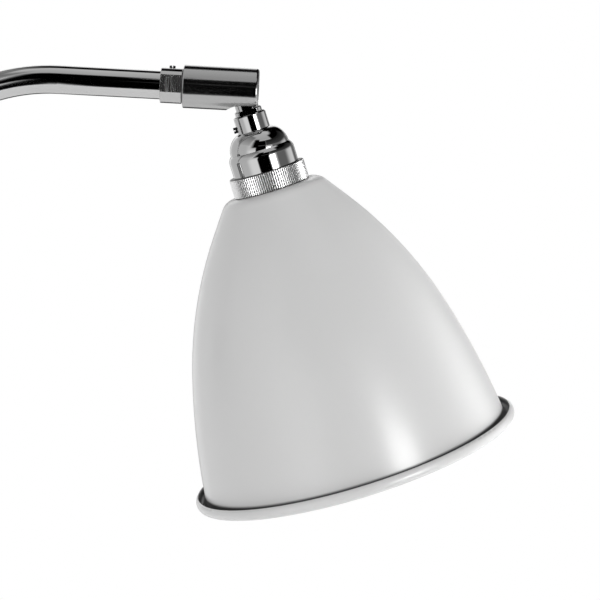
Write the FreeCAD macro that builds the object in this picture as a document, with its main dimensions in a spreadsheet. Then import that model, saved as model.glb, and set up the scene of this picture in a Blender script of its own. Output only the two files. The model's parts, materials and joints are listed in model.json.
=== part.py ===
"""Articulating wall lamp: wall rose, swan neck arm, tilting knuckle, lampholder and spun shade."""
import FreeCAD
import Part
import math
import os
import re
import Sketcher

# Driving sizes in millimetres and degrees
SIZES = {
    # Wall side
    "plate_margin": 3.8,
    "plate_sheet": 2.0,
    "ear_root": 6.0,
    "plate_cable_radius": 8.0,
    "ear_width": 14.0,
    "ear_clearance": 0.2,
    "wall_screw_spacing": 60.0,
    "wall_slot_width": 4.5,
    "wall_slot_length": 10.0,
    "rose_radius": 46.0,
    "rose_depth": 27.0,
    "rose_band": 10.0,
    "rose_flat_radius": 15.0,
    "rose_sheet": 1.2,
    "rose_edge_round": 3.0,
    "rose_screw_radius": 1.5,
    "rose_screw_head_radius": 3.0,
    "rose_screw_head": 1.8,
    "rose_screw_tail": 2.1,
    "rose_nut_width": 14.0,
    "rose_nut_depth": 3.0,
    "rose_washer_radius": 8.0,
    "rose_washer_sheet": 1.0,
    "cover_washer_radius": 10.5,
    "cover_washer_depth": 1.6,
    "sleeve_radius": 7.2,
    "nipple_tail": 3.0,
    "nipple_engagement": 5.0,
    "terminal_length": 26.0,
    "terminal_width": 14.0,
    "terminal_height": 12.0,
    "terminal_offset": 24.0,
    "terminal_pitch": 8.0,
    "terminal_wire_radius": 1.5,
    "terminal_well_radius": 1.9,
    "terminal_well_depth": 5.5,
    "terminal_screw_length": 3.0,
    "earth_screw_radius": 1.7,
    "earth_screw_head_radius": 3.5,
    "earth_screw_head": 2.2,
    # Arm
    "swivel_out": 52.0,
    "tube_diameter": 13.5,
    "tube_wall": 1.25,
    "bend_radius": 90.0,
    "rise_run": 14.0,
    "level_run": 48.3,
    "end_slope_angle": 3.05,
    # Swivel joints at both ends of the arm
    "collar_radius": 8.35,
    "collar_flats": 14.5,
    "collar_length": 10.3,
    "collar_chamfer": 0.3,
    "collar_roll_angle": 11.0,
    "socket_plug": 8.0,
    "joint_gap": 0.4,
    "joint_washer_radius": 6.6,
    "joint_washer_sheet": 0.3,
    "housing_diameter": 20.4,
    "housing_length": 35.6,
    "housing_round": 1.3,
    "housing_chamfer": 0.4,
    "plug_wall": 0.65,
    "spigot_wall": 1.8,
    "spigot_seat": 12.0,
    "spigot_reach": 13.0,
    "running_clearance": 0.05,
    "cable_way_radius": 4.0,
    "collar_cable_clearance": 0.2,
    "lock_screw_radius": 1.45,
    "lock_screw_proud": 1.0,
    "lock_tip_radius": 0.9,
    "lock_groove_depth": 0.9,
    "lock_groove_clearance": 0.1,
    "screw_slot_width": 0.6,
    "screw_slot_depth": 0.9,
    "wall_swing_angle": 75.0,
    "head_roll_angle": 150.0,
    "stop_margin_angle": 14.5,
    # Knuckle
    "pivot_setback": 8.1,
    "fork_cheek": 3.25,
    "ball_clearance": 0.3,
    "pivot_pin_radius": 2.9,
    "pivot_pin_engagement": 2.4,
    "shoulder_clearance": 0.45,
    "shoulder_depth": 2.35,
    "shoulder_chamfer": 0.3,
    "shoulder_step": 1.0,
    "stem_wall": 2.8,
    "stem_flat_depth": 1.62,
    "stem_flat_rise": 4.0,
    "shade_lean_angle": 17.05,
    # Lampholder, measured down the shade axis from the pivot
    "shoulder_top": 9.8,
    "cap_collar_radius": 7.8,
    "cap_collar_length": 7.9,
    "cap_collar_chamfer": 0.5,
    "cap_ledge": 0.2,
    "cap_dome_radius": 14.25,
    "cap_dome_depth": 8.95,
    "cap_skirt": 0.2,
    "cap_wall": 1.0,
    "grub_drop": 5.6,
    "grub_proud": 1.5,
    "grub_tip": 0.8,
    "body_radius": 15.92,
    "body_lip": 0.15,
    "body_shoulder": 3.4,
    "body_skirt": 6.9,
    "body_step": 1.32,
    "body_thread_length": 18.4,
    "body_wall": 1.2,
    "ring_radius": 18.37,
    "ring_depth": 9.4,
    "ring_chamfer": 0.45,
    "knurl_count": 106,
    "knurl_depth": 0.38,
    "knurl_width": 0.78,
    "lower_ring_radius": 17.9,
    "lower_ring_depth": 4.0,
    "lower_ring_notch": 1.4,
    "lower_ring_notch_count": 12,
    "body_neck": 4.0,
    "insert_seat": 5.05,
    "insert_depth": 8.0,
    "terminal_cube": 5.5,
    "plunger_radius": 2.2,
    "plunger_offset": 5.5,
    "plunger_length": 8.0,
    "plunger_proud": 3.0,
    "plunger_nose": 1.2,
    "plunger_nose_radius": 1.6,
    "spring_wall": 0.6,
    "liner_clearance": 0.25,
    "liner_end_gap": 0.6,
    "bayonet_width": 2.4,
    "bayonet_depth": 7.0,
    "bayonet_turn": 6.2,
    "bayonet_notch": 1.2,
    # Bulb
    "bulb_cap_radius": 11.0,
    "bulb_cap_length": 25.0,
    "bulb_cap_wall": 0.5,
    "bulb_pin_radius": 1.0,
    "bulb_pin_clearance": 0.2,
    "bulb_pin_seat": 3.0,
    "bulb_disc_radius": 9.0,
    "bulb_disc_depth": 1.5,
    "glass_radius": 30.0,
    "bulb_length": 106.0,
    "glass_neck_rise": 2.4,
    "glass_neck_gap": 0.1,
    "glass_neck_inside": 5.0,
    "glass_wall": 0.8,
    # Shade
    "shade_sheet": 1.0,
    "shade_hole_clearance": 0.2,
    "shade_crown_radius": 19.5,
    "shade_shoulder_radius": 7.5,
    "shade_cone_length": 13.3,
    "shade_cone_angle": 36.0,
    "shade_upper_bow": 198.0,
    "shade_middle_angle": 16.4,
    "shade_lower_bow": 352.0,
    "shade_mouth_angle": 6.2,
    "bead_radius": 2.9,
    "curl_end_angle": 62.0,
}

# Places worked out from the sizes
ROSE_RISE = "(rose_depth - rose_band)"
ROSE_INSET = "(rose_radius - rose_flat_radius)"
ROSE_BOW = f"(({ROSE_INSET} * {ROSE_INSET} + {ROSE_RISE} * {ROSE_RISE}) / (2 * {ROSE_RISE}))"
ROSE_CENTRE = f"(rose_depth - {ROSE_BOW})"
ROSE_INSIDE = "(rose_radius - rose_sheet)"
ROSE_INNER_BOW = f"({ROSE_BOW} - rose_sheet)"
ROSE_INNER_BAND = f"({ROSE_CENTRE} + sqrt({ROSE_INNER_BOW} ^ 2 - ({ROSE_INSIDE} - rose_flat_radius) ^ 2))"
PLATE = f"({ROSE_INSIDE} - plate_margin)"
EAR_FACE = f"(sqrt({ROSE_INSIDE} ^ 2 - ear_width ^ 2 / 4) - ear_clearance)"
EAR_TOP = f"({ROSE_INNER_BAND} - ear_clearance)"
ROSE_SCREW = f"((plate_sheet + {EAR_TOP}) / 2)"
SCREW_FOOT = f"({EAR_FACE} - plate_sheet - rose_screw_tail)"
NUT_BACK = "(rose_depth - rose_sheet - rose_washer_sheet - rose_nut_depth)"
NIPPLE_END = "(swivel_out - housing_diameter / 2 + nipple_engagement)"
TUBE_INSIDE = "(tube_diameter / 2 - tube_wall)"
SPIGOT_SEAT = f"({TUBE_INSIDE} - plug_wall)"
SPIGOT = f"({SPIGOT_SEAT} - running_clearance)"
SPIGOT_BORE = f"({SPIGOT} - spigot_wall)"
HOUSING_START = "(collar_length + joint_gap)"
HOUSING_END = f"({HOUSING_START} + housing_length)"
TUBE_FOOT = f"({HOUSING_START} + housing_length / 2)"
SPIGOT_START = "(collar_length - spigot_reach)"
PIVOT_AT = f"({HOUSING_END} - pivot_setback)"
ARC_TOP = f"({TUBE_FOOT} + rise_run)"
TUBE_END_X = "(swivel_out + bend_radius * (1 + sin(end_slope_angle)) + level_run * cos(end_slope_angle))"
TUBE_END_Z = f"({ARC_TOP} + bend_radius * cos(end_slope_angle) - level_run * sin(end_slope_angle))"
PIVOT_X = f"({TUBE_END_X} + {PIVOT_AT} * cos(end_slope_angle))"
PIVOT_Z = f"({TUBE_END_Z} - {PIVOT_AT} * sin(end_slope_angle))"
FORK_HALF = "(housing_diameter / 2 - fork_cheek)"
BALL = f"({FORK_HALF} - ball_clearance)"
PIN_INNER = f"({BALL} - pivot_pin_engagement)"
SHOULDER = f"({FORK_HALF} - shoulder_clearance)"
STEM = f"({SHOULDER} - shoulder_step)"
STEM_BORE = f"({STEM} - stem_wall)"
CAP_TOP = "(shoulder_top + shoulder_depth)"
COLLAR_FOOT = f"({CAP_TOP} + cap_collar_length)"
STEM_END = f"({COLLAR_FOOT} + cap_wall)"
CREASE = f"({COLLAR_FOOT} + cap_dome_depth + cap_skirt)"
CAP_STEP = "(cap_collar_radius + cap_ledge)"
CAP_WIDENING = f"(cap_dome_radius - {CAP_STEP})"
CAP_BOW = f"(({CAP_WIDENING} ^ 2 + cap_dome_depth ^ 2) / (2 * {CAP_WIDENING}))"
CAP_INNER_BOW = f"({CAP_BOW} - cap_wall)"
BODY_STEP = f"({CREASE} + body_shoulder + body_skirt)"
BODY_END = f"({BODY_STEP} + body_thread_length)"
SHADE_TOP = f"({BODY_STEP} + ring_depth)"
INSERT_TOP = f"({CREASE} + insert_seat)"
INSERT_END = f"({INSERT_TOP} + insert_depth)"
BODY_THREAD = "(body_radius - body_step)"
BODY_BORE = f"({BODY_THREAD} - body_wall)"
LINER_END = f"({BODY_END} - liner_end_gap)"
BULB_TOP = f"({INSERT_END} + plunger_proud)"
CAP_END = f"({BULB_TOP} + bulb_cap_length)"
BAYONET = f"({LINER_END} - bayonet_depth)"
GLASS_NECK = "(bulb_cap_radius - bulb_cap_wall - glass_neck_gap)"
GLASS_CENTRE = f"({BULB_TOP} + bulb_length - glass_radius)"

# How far a cutting outline runs past the surface it cuts
PAST = "1"

doc = FreeCAD.newDocument("wall_lamp")
sheet = doc.addObject("Spreadsheet::Sheet", "sizes")
for row, (alias, value) in enumerate(SIZES.items(), start=1):
    sheet.set(f"A{row}", alias)
    sheet.set(f"B{row}", str(value))
    sheet.setAlias(f"B{row}", alias)
doc.recompute()


def bound(formula):
    """Point every size name in a formula at its cell."""
    return re.sub(r"[a-z_]+", lambda word: "sizes." + word[0] if word[0] in SIZES else word[0], str(formula))


def value_of(formula):
    """The number that a formula stands for."""
    return float(sheet.evalExpression(bound(formula)))


# Where each group of pieces sits: x, z, the turn about the Y axis and the roll about its own axis
WALL = ("0", "0", "90", "0")
ROSE_SIDE = (ROSE_SCREW, "0", "0", "0")
ARM_FOOT = ("swivel_out", TUBE_FOOT, "0", "0")
LOWER_JOINT = ("swivel_out", TUBE_FOOT, "180", "0")
HEAD_JOINT = (TUBE_END_X, TUBE_END_Z, "90 + end_slope_angle", "0")
HEAD_COLLAR = (*HEAD_JOINT[:3], "-collar_roll_angle")
HEAD = (PIVOT_X, PIVOT_Z, "180 - shade_lean_angle", "0")

pieces = []


def piece(label, place):
    """Start a sub-part in the place of its group."""
    body = doc.addObject("PartDesign::Body", label)
    body.Label = label
    body.AllowCompound = True
    across, up, angle, roll = place
    start = FreeCAD.Vector(value_of(across), 0, value_of(up))
    turn = FreeCAD.Rotation(FreeCAD.Vector(0, 1, 0), value_of(angle))
    own_roll = FreeCAD.Rotation(FreeCAD.Vector(0, 0, 1), value_of(roll))
    body.Placement = FreeCAD.Placement(start, turn * own_roll)
    body.setExpression("Placement.Base.x", bound(across))
    body.setExpression("Placement.Base.z", bound(up))
    pieces.append(body)
    return body


def sketch_on(body, plane, offset=("0", "0", "0")):
    """Lay an empty sketch on one of the body's own planes, shifted in its plane and along its normal."""
    sketch = body.newObject("Sketcher::SketchObject", body.Label + "_sketch")
    origin_plane = [item for item in body.Origin.OriginFeatures if item.Role == plane]
    sketch.AttachmentSupport = [(origin_plane[0], "")]
    sketch.MapMode = "FlatFace"
    for axis, formula in zip("xyz", offset):
        if formula != "0":
            sketch.setExpression(f"AttachmentOffset.Base.{axis}", bound(formula))
    return sketch


def pin_across(sketch, side, end, formula):
    """Hold a point of a side at its distance across."""
    hold(sketch, "DistanceX", -2, side, end, formula)


def pin_up(sketch, side, end, formula):
    """Hold a point of a side at its height."""
    hold(sketch, "DistanceY", -1, side, end, formula)


def hold(sketch, kind, axis, side, end, formula):
    """Put a point on an axis, or at a distance from it."""
    if formula == "0":
        sketch.addConstraint(Sketcher.Constraint("PointOnObject", side, end, axis))
        return
    number = sketch.addConstraint(Sketcher.Constraint(kind, -1, 1, side, end, value_of(formula)))
    sketch.setExpression(f"Constraints[{number}]", bound(formula))


def pin_point(sketch, side, end, corner):
    """Hold one point of a side at its corner."""
    pin_across(sketch, side, end, corner[0])
    pin_up(sketch, side, end, corner[1])


def outline(sketch, corners):
    """Draw a closed outline through corners (x, y). A corner may go on with the arc that leaves it:
    its radius, its centre x and y, and 1 for anticlockwise or -1 for clockwise."""
    points = [FreeCAD.Vector(value_of(corner[0]), value_of(corner[1]), 0) for corner in corners]
    ends = []
    for index, corner in enumerate(corners):
        start, finish = points[index], points[(index + 1) % len(points)]
        if len(corner) == 2:
            side = sketch.addGeometry(Part.LineSegment(start, finish))
            ends.append((side, 1, 2))
            continue
        radius, centre_x, centre_y, way = corner[2:]
        centre = FreeCAD.Vector(value_of(centre_x), value_of(centre_y), 0)
        round_side = Part.Circle(centre, FreeCAD.Vector(0, 0, 1), value_of(radius))
        first, last = (start, finish) if way > 0 else (finish, start)
        angles = [math.atan2(spot.y - centre.y, spot.x - centre.x) for spot in (first, last)]
        side = sketch.addGeometry(Part.ArcOfCircle(round_side, angles[0], angles[1]))
        if abs(finish.y - start.y) > abs(finish.x - start.x):
            pin_across(sketch, side, 3, centre_x)
        else:
            pin_up(sketch, side, 3, centre_y)
        ends.append((side, 1, 2) if way > 0 else (side, 2, 1))
    for index, (side, begin, _) in enumerate(ends):
        before = ends[index - 1]
        sketch.addConstraint(Sketcher.Constraint("Coincident", before[0], before[2], side, begin))
        pin_point(sketch, side, begin, corners[index])
    return sketch


def circle(sketch, across, up, radius):
    """Draw a circle."""
    centre = FreeCAD.Vector(value_of(across), value_of(up), 0)
    side = sketch.addGeometry(Part.Circle(centre, FreeCAD.Vector(0, 0, 1), value_of(radius)))
    number = sketch.addConstraint(Sketcher.Constraint("Radius", side, value_of(radius)))
    sketch.setExpression(f"Constraints[{number}]", bound(radius))
    pin_point(sketch, side, 3, (across, up))
    return sketch


def box(left, bottom, right, top):
    """The four corners of an upright rectangle."""
    return [(left, bottom), (right, bottom), (right, top), (left, top)]


def cross_slot(left, right):
    """A screwdriver slot that runs along x."""
    return box(left, "-screw_slot_width / 2", right, "screw_slot_width / 2")


def slot_outline(half_length, radius, centre_x):
    """A round ended slot that runs along x."""
    left, right = f"{centre_x} - {half_length} + {radius}", f"{centre_x} + {half_length} - {radius}"
    return [
        (left, f"-({radius})"),
        (right, f"-({radius})", radius, right, "0", 1),
        (right, radius),
        (left, radius, radius, left, "0", 1),
    ]


def volume(body):
    """Rebuild the body and give its volume."""
    doc.recompute()
    return body.Shape.Volume


def turned(body, corners, about="V_Axis", offset=("0", "0", "0"), angle="360"):
    """Revolve an outline of radius and height about the piece's own axis, evenly to both sides."""
    sketch = outline(sketch_on(body, "XZ_Plane", offset), corners)
    feature = body.newObject("PartDesign::Revolution", body.Label + "_turned")
    feature.Profile = sketch
    feature.ReferenceAxis = (sketch, [about])
    feature.Midplane = angle != "360"
    feature.setExpression("Angle", bound(angle))
    return feature


def cut_round(body, corners, offset):
    """Cut the shape of a turning tool that spins about a line along x."""
    before = volume(body)
    sketch = outline(sketch_on(body, "XZ_Plane", offset), corners)
    feature = body.newObject("PartDesign::Groove", body.Label + "_round_cut")
    feature.Profile = sketch
    feature.ReferenceAxis = (sketch, ["H_Axis"])
    feature.Angle = 360
    if volume(body) >= before:
        raise RuntimeError(body.Label + ": a round cut removes nothing")


def padded(body, sketch, length, symmetric=False, reverse=False):
    """Extrude a sketch by a length."""
    feature = body.newObject("PartDesign::Pad", body.Label + "_pad")
    feature.Profile = sketch
    feature.SideType = "Symmetric" if symmetric else "One side"
    feature.Reversed = reverse
    feature.setExpression("Length", bound(length))
    return feature


def cut(body, sketch, length=None, symmetric=False, outward=False):
    """Cut a sketch through, or to a length. An outward cut goes the way the sketch faces."""
    before = volume(body)
    feature = body.newObject("PartDesign::Pocket", body.Label + "_cut")
    feature.Profile = sketch
    feature.SideType = "Symmetric" if symmetric else "One side"
    feature.Reversed = outward
    if length is None:
        feature.Type = "ThroughAll"
    else:
        feature.setExpression("Length", bound(length))
    if volume(body) >= before:
        raise RuntimeError(body.Label + ": a cut removes nothing")
    return feature


def around(body, features, count):
    """Repeat cuts or pads evenly about the piece's axis."""
    pattern = body.newObject("PartDesign::PolarPattern", body.Label + "_ring")
    pattern.Originals = features
    axis = [item for item in body.Origin.OriginFeatures if item.Role == "Z_Axis"]
    pattern.Axis = (axis[0], [""])
    pattern.Angle = 360
    pattern.setExpression("Occurrences", bound(count))
    body.Tip = pattern
    return pattern


def mirrored(body, features, plane):
    """Repeat features on the other side of one of the body's own planes."""
    pattern = body.newObject("PartDesign::Mirrored", body.Label + "_mirror")
    pattern.Originals = features
    mirror = [item for item in body.Origin.OriginFeatures if item.Role == plane]
    pattern.MirrorPlane = (mirror[0], [""])
    body.Tip = pattern
    return pattern


def tube_corners(inner, outer, low, high):
    """Corners of a plain ring or tube."""
    return [(inner, low), (outer, low), (outer, high), (inner, high)]


# Wall side


def mounting_plate():
    """Round steel plate with two slots for wall screws, a cable hole and two turned up ears."""
    body = piece("mounting_plate", WALL)
    padded(body, circle(sketch_on(body, "XY_Plane"), "0", "0", PLATE), "plate_sheet")
    inner = f"{EAR_FACE} - plate_sheet"
    for side in ("", "-"):
        corners = [
            (f"{side}({PLATE} - ear_root)", "0"),
            (f"{side}{EAR_FACE}", "0"),
            (f"{side}{EAR_FACE}", EAR_TOP),
            (f"{side}({inner})", EAR_TOP),
            (f"{side}({inner})", "plate_sheet"),
            (f"{side}({PLATE} - ear_root)", "plate_sheet"),
        ]
        padded(body, outline(sketch_on(body, "XZ_Plane"), corners), "ear_width", symmetric=True)
    cut(body, circle(sketch_on(body, "XY_Plane"), "0", "0", "plate_cable_radius"), outward=True)
    for side in ("", "-"):
        slot = slot_outline("wall_slot_length / 2", "wall_slot_width / 2", f"{side}wall_screw_spacing / 2")
        cut(body, outline(sketch_on(body, "XY_Plane"), slot), outward=True)
    ear_hole = circle(sketch_on(body, "YZ_Plane"), "0", ROSE_SCREW, "rose_screw_radius")
    cut(body, ear_hole, symmetric=True)
    earth_hole = circle(sketch_on(body, "XY_Plane"), "0", "terminal_offset", "earth_screw_radius")
    cut(body, earth_hole, outward=True)


def terminal_block():
    """Three pole block beside the cable hole, with a wire bore and a screw well for each pole."""
    body = piece("terminal_block", WALL)
    base = ("0", "-terminal_offset", "plate_sheet")
    corners = box("-terminal_length / 2", "-terminal_width / 2", "terminal_length / 2", "terminal_width / 2")
    padded(body, outline(sketch_on(body, "XY_Plane", base), corners), "terminal_height")
    wire_height = "plate_sheet + terminal_height / 3"
    for step in ("-terminal_pitch", "0", "terminal_pitch"):
        wire = circle(sketch_on(body, "XZ_Plane"), step, wire_height, "terminal_wire_radius")
        cut(body, wire, outward=True)
        well = sketch_on(body, "XY_Plane", ("0", "-terminal_offset", "plate_sheet + terminal_height"))
        cut(body, circle(well, step, "0", "terminal_well_radius"), "terminal_well_depth")


def terminal_screws():
    """Three slotted screws down in the wells of the block."""
    body = piece("terminal_screws", WALL)
    floor = "plate_sheet + terminal_height - terminal_well_depth"
    for step in ("-terminal_pitch", "0", "terminal_pitch"):
        base = sketch_on(body, "XY_Plane", ("0", "-terminal_offset", floor))
        padded(body, circle(base, step, "0", "terminal_well_radius"), "terminal_screw_length")
    top = f"{floor} + terminal_screw_length"
    slot = cross_slot("-terminal_length / 2", "terminal_length / 2")
    cut(body, outline(sketch_on(body, "XY_Plane", ("0", "-terminal_offset", top)), slot), "screw_slot_depth")


def earth_screw():
    """Slotted earth screw in the plate, on the other side of the cable hole."""
    body = piece("earth_screw", WALL)
    base = ("0", "terminal_offset", "0")
    padded(body, circle(sketch_on(body, "XY_Plane", base), "0", "0", "earth_screw_radius"), "plate_sheet")
    seat = ("0", "terminal_offset", "plate_sheet")
    head = circle(sketch_on(body, "XY_Plane", seat), "0", "0", "earth_screw_head_radius")
    padded(body, head, "earth_screw_head")
    top = ("0", "terminal_offset", "plate_sheet + earth_screw_head")
    slot = cross_slot("-earth_screw_head_radius", "earth_screw_head_radius")
    cut(body, outline(sketch_on(body, "XY_Plane", top), slot), "screw_slot_depth")


def wall_rose():
    """Spun cup: a straight band at the wall, then one bow up to a flat front with the nipple hole."""
    body = piece("wall_rose", WALL)
    blend = f"({ROSE_BOW} - rose_edge_round)"
    blend_reach = f"({ROSE_INSET} - rose_edge_round)"
    blend_rise = f"sqrt({blend} * {blend} - {blend_reach} * {blend_reach})"
    blend_centre = (f"rose_flat_radius + {blend_reach}", f"({ROSE_CENTRE} + {blend_rise})")
    blend_end = (
        f"rose_flat_radius + {blend_reach} * {ROSE_BOW} / {blend}",
        f"{ROSE_CENTRE} + {blend_rise} * {ROSE_BOW} / {blend}",
    )
    turned(body, [
        (ROSE_INSIDE, "0"),
        ("rose_radius", "0"),
        ("rose_radius", blend_centre[1], "rose_edge_round", *blend_centre, 1),
        (*blend_end, ROSE_BOW, "rose_flat_radius", ROSE_CENTRE, 1),
        ("rose_flat_radius", "rose_depth"),
        (SPIGOT, "rose_depth"),
        (SPIGOT, "rose_depth - rose_sheet"),
        ("rose_flat_radius", "rose_depth - rose_sheet", ROSE_INNER_BOW, "rose_flat_radius", ROSE_CENTRE, -1),
        (ROSE_INSIDE, ROSE_INNER_BAND),
    ])
    side_hole = circle(sketch_on(body, "YZ_Plane"), "0", ROSE_SCREW, "rose_screw_radius")
    cut(body, side_hole, symmetric=True)


def rose_screws():
    """Two slotted round head screws through the band of the rose into the ears of the plate."""
    body = piece("rose_screws", ROSE_SIDE)
    crown = "(rose_radius + rose_screw_head)"
    dome = "(2 * rose_screw_head_radius)"
    drop = f"sqrt({dome} * {dome} - rose_screw_head_radius * rose_screw_head_radius)"
    turned(body, [
        ("0", SCREW_FOOT),
        ("rose_screw_radius", SCREW_FOOT),
        ("rose_screw_radius", "rose_radius"),
        ("rose_screw_head_radius", "rose_radius"),
        ("rose_screw_head_radius", f"{crown} - {dome} + {drop}", dome, "0", f"{crown} - {dome}", 1),
        ("0", crown),
    ])
    half = "screw_slot_width / 2"
    slot = box(f"-{half}", f"{crown} - screw_slot_depth", half, f"{crown} + {PAST}")
    slot_sketch = outline(sketch_on(body, "YZ_Plane"), slot)
    feature = cut(body, slot_sketch, "4 * rose_screw_head_radius", symmetric=True)
    mirrored(body, [body.Group[1], feature], "XY_Plane")


def hexagon(sketch, width):
    """Draw a hexagon of a width across flats."""
    corners = []
    for step in range(6):
        angle = f"({30 + 60 * step})"
        corners.append((f"{width} / 2 / cos(30) * cos{angle}", f"{width} / 2 / cos(30) * sin{angle}"))
    return outline(sketch, corners)


def rose_nut():
    """Hexagon nut on the nipple inside the rose."""
    body = piece("rose_nut", WALL)
    base = sketch_on(body, "XY_Plane", ("0", "0", NUT_BACK))
    padded(body, hexagon(base, "rose_nut_width"), "rose_nut_depth")
    cut(body, circle(sketch_on(body, "XY_Plane"), "0", "0", SPIGOT), outward=True)


def rose_washers():
    """Plain washer under the nut and rounded cover washer in front of the rose."""
    body = piece("rose_inner_washer", WALL)
    back = "(rose_depth - rose_sheet)"
    turned(body, tube_corners(SPIGOT, "rose_washer_radius", f"{back} - rose_washer_sheet", back))
    body = piece("rose_cover_washer", WALL)
    front = "(rose_depth + cover_washer_depth)"
    turned(body, [
        (SPIGOT, "rose_depth"),
        ("cover_washer_radius", "rose_depth"),
        ("cover_washer_radius", "rose_depth + cover_washer_depth / 4"),
        ("cover_washer_radius - 0.75 * cover_washer_depth", front),
        (SPIGOT, front),
    ])


def distance_sleeve():
    """Sleeve over the nipple, its front end coped to sit round the barrel."""
    body = piece("distance_sleeve", WALL)
    turned(body, tube_corners(SPIGOT, "sleeve_radius", "rose_depth + cover_washer_depth", "swivel_out"))
    barrel = circle(sketch_on(body, "YZ_Plane"), "0", "swivel_out", "housing_diameter / 2")
    cut(body, barrel, symmetric=True)


def wall_nipple():
    """Hollow threaded tube that holds the barrel to the rose and carries the flex."""
    body = piece("wall_nipple", WALL)
    start = f"({NUT_BACK} - nipple_tail)"
    turned(body, tube_corners(SPIGOT_BORE, SPIGOT, start, NIPPLE_END))


def housing_blank(body):
    """Solid turned bar with a rounded far end, the spigot seat and the cable way behind it."""
    turned(body, [
        ("0", HOUSING_START),
        ("housing_diameter / 2 - housing_chamfer", HOUSING_START),
        ("housing_diameter / 2", f"{HOUSING_START} + housing_chamfer"),
        ("housing_diameter / 2", f"{HOUSING_END} - housing_round", "housing_round",
         "housing_diameter / 2 - housing_round", f"{HOUSING_END} - housing_round", 1),
        ("housing_diameter / 2 - housing_round", HOUSING_END),
        ("0", HOUSING_END),
    ])
    seat = circle(sketch_on(body, "XY_Plane", ("0", "0", HOUSING_START)), "0", "0", SPIGOT)
    cut(body, seat, "spigot_seat", outward=True)


def wall_barrel():
    """Upright barrel that the arm turns in, with a side hole for the nipple."""
    body = piece("wall_barrel", LOWER_JOINT)
    housing_blank(body)
    middle = f"({HOUSING_START} + housing_length / 2)"
    way = circle(sketch_on(body, "XY_Plane", ("0", "0", HOUSING_START)), "0", "0", "cable_way_radius")
    cut(body, way, "housing_length / 2 + cable_way_radius", outward=True)
    side = ("0", "0", "housing_diameter / 2 - nipple_engagement")
    seat = circle(sketch_on(body, "YZ_Plane", side), "0", middle, SPIGOT)
    cut(body, seat, outward=True)
    cut(body, circle(sketch_on(body, "YZ_Plane"), "0", middle, SPIGOT_BORE), outward=True)


def joint_spigot(label, place, travel):
    """Hollow spigot fixed in the housing that runs in the collar. The lock screw's tip runs in its
    groove, and the stop that bridges the groove behind ends the turn."""
    body = piece(label, place)
    half = "(lock_tip_radius + lock_groove_clearance)"
    low, high = f"(collar_length / 2 - {half})", f"(collar_length / 2 + {half})"
    floor = f"({SPIGOT} - lock_groove_depth)"
    end = f"({HOUSING_START} + spigot_seat)"
    turned(body, [
        (SPIGOT_BORE, SPIGOT_START),
        (SPIGOT, SPIGOT_START),
        (SPIGOT, low),
        (floor, low),
        (floor, high),
        (SPIGOT, high),
        (SPIGOT, end),
        (SPIGOT_BORE, end),
    ])
    stop = f"360 - 2 * ({travel} + stop_margin_angle)"
    turned(body, box(f"({SPIGOT_BORE} + {floor}) / 2", low, SPIGOT, high), angle=stop)


def joint_washer(label, place):
    """Thin washer between the collar and the housing."""
    body = piece(label, place)
    low = f"({HOUSING_START} - joint_washer_sheet)"
    turned(body, tube_corners(SPIGOT, "joint_washer_radius", low, HOUSING_START))


# Arm


def arm_tube():
    """Swan neck: up from the wall joint, one bend over the top, then straight out to the head joint."""
    body = piece("arm_tube", ARM_FOOT)
    path = sketch_on(body, "XZ_Plane")
    rise, radius, run = value_of("rise_run"), value_of("bend_radius"), value_of("level_run")
    slope = math.radians(value_of("end_slope_angle"))
    over = FreeCAD.Vector(radius * (1 + math.sin(slope)), rise + radius * math.cos(slope), 0)
    tip = over + FreeCAD.Vector(run * math.cos(slope), -run * math.sin(slope), 0)
    centre = FreeCAD.Vector(radius, rise, 0)
    bend = Part.Circle(centre, FreeCAD.Vector(0, 0, 1), radius)
    path.addGeometry(Part.LineSegment(FreeCAD.Vector(0, 0, 0), FreeCAD.Vector(0, rise, 0)))
    path.addGeometry(Part.ArcOfCircle(bend, math.pi / 2 - slope, math.pi))
    path.addGeometry(Part.LineSegment(over, tip))
    over_formula = ("bend_radius * (1 + sin(end_slope_angle))",
                    "rise_run + bend_radius * cos(end_slope_angle)")
    path.addConstraint(Sketcher.Constraint("Coincident", 0, 2, 1, 2))
    path.addConstraint(Sketcher.Constraint("Coincident", 1, 1, 2, 1))
    pin_point(path, 0, 1, ("0", "0"))
    pin_point(path, 0, 2, ("0", "rise_run"))
    pin_point(path, 2, 1, over_formula)
    pin_point(path, 2, 2, (f"{over_formula[0]} + level_run * cos(end_slope_angle)",
                           f"{over_formula[1]} - level_run * sin(end_slope_angle)"))
    pin_up(path, 1, 3, "rise_run")
    section = sketch_on(body, "XY_Plane")
    circle(section, "0", "0", "tube_diameter / 2")
    circle(section, "0", "0", TUBE_INSIDE)
    tube = body.newObject("PartDesign::AdditivePipe", "arm_tube_bent")
    tube.Profile = section
    tube.Spine = (path, ["Edge1", "Edge2", "Edge3"])
    tube.Mode = "Standard"


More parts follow.
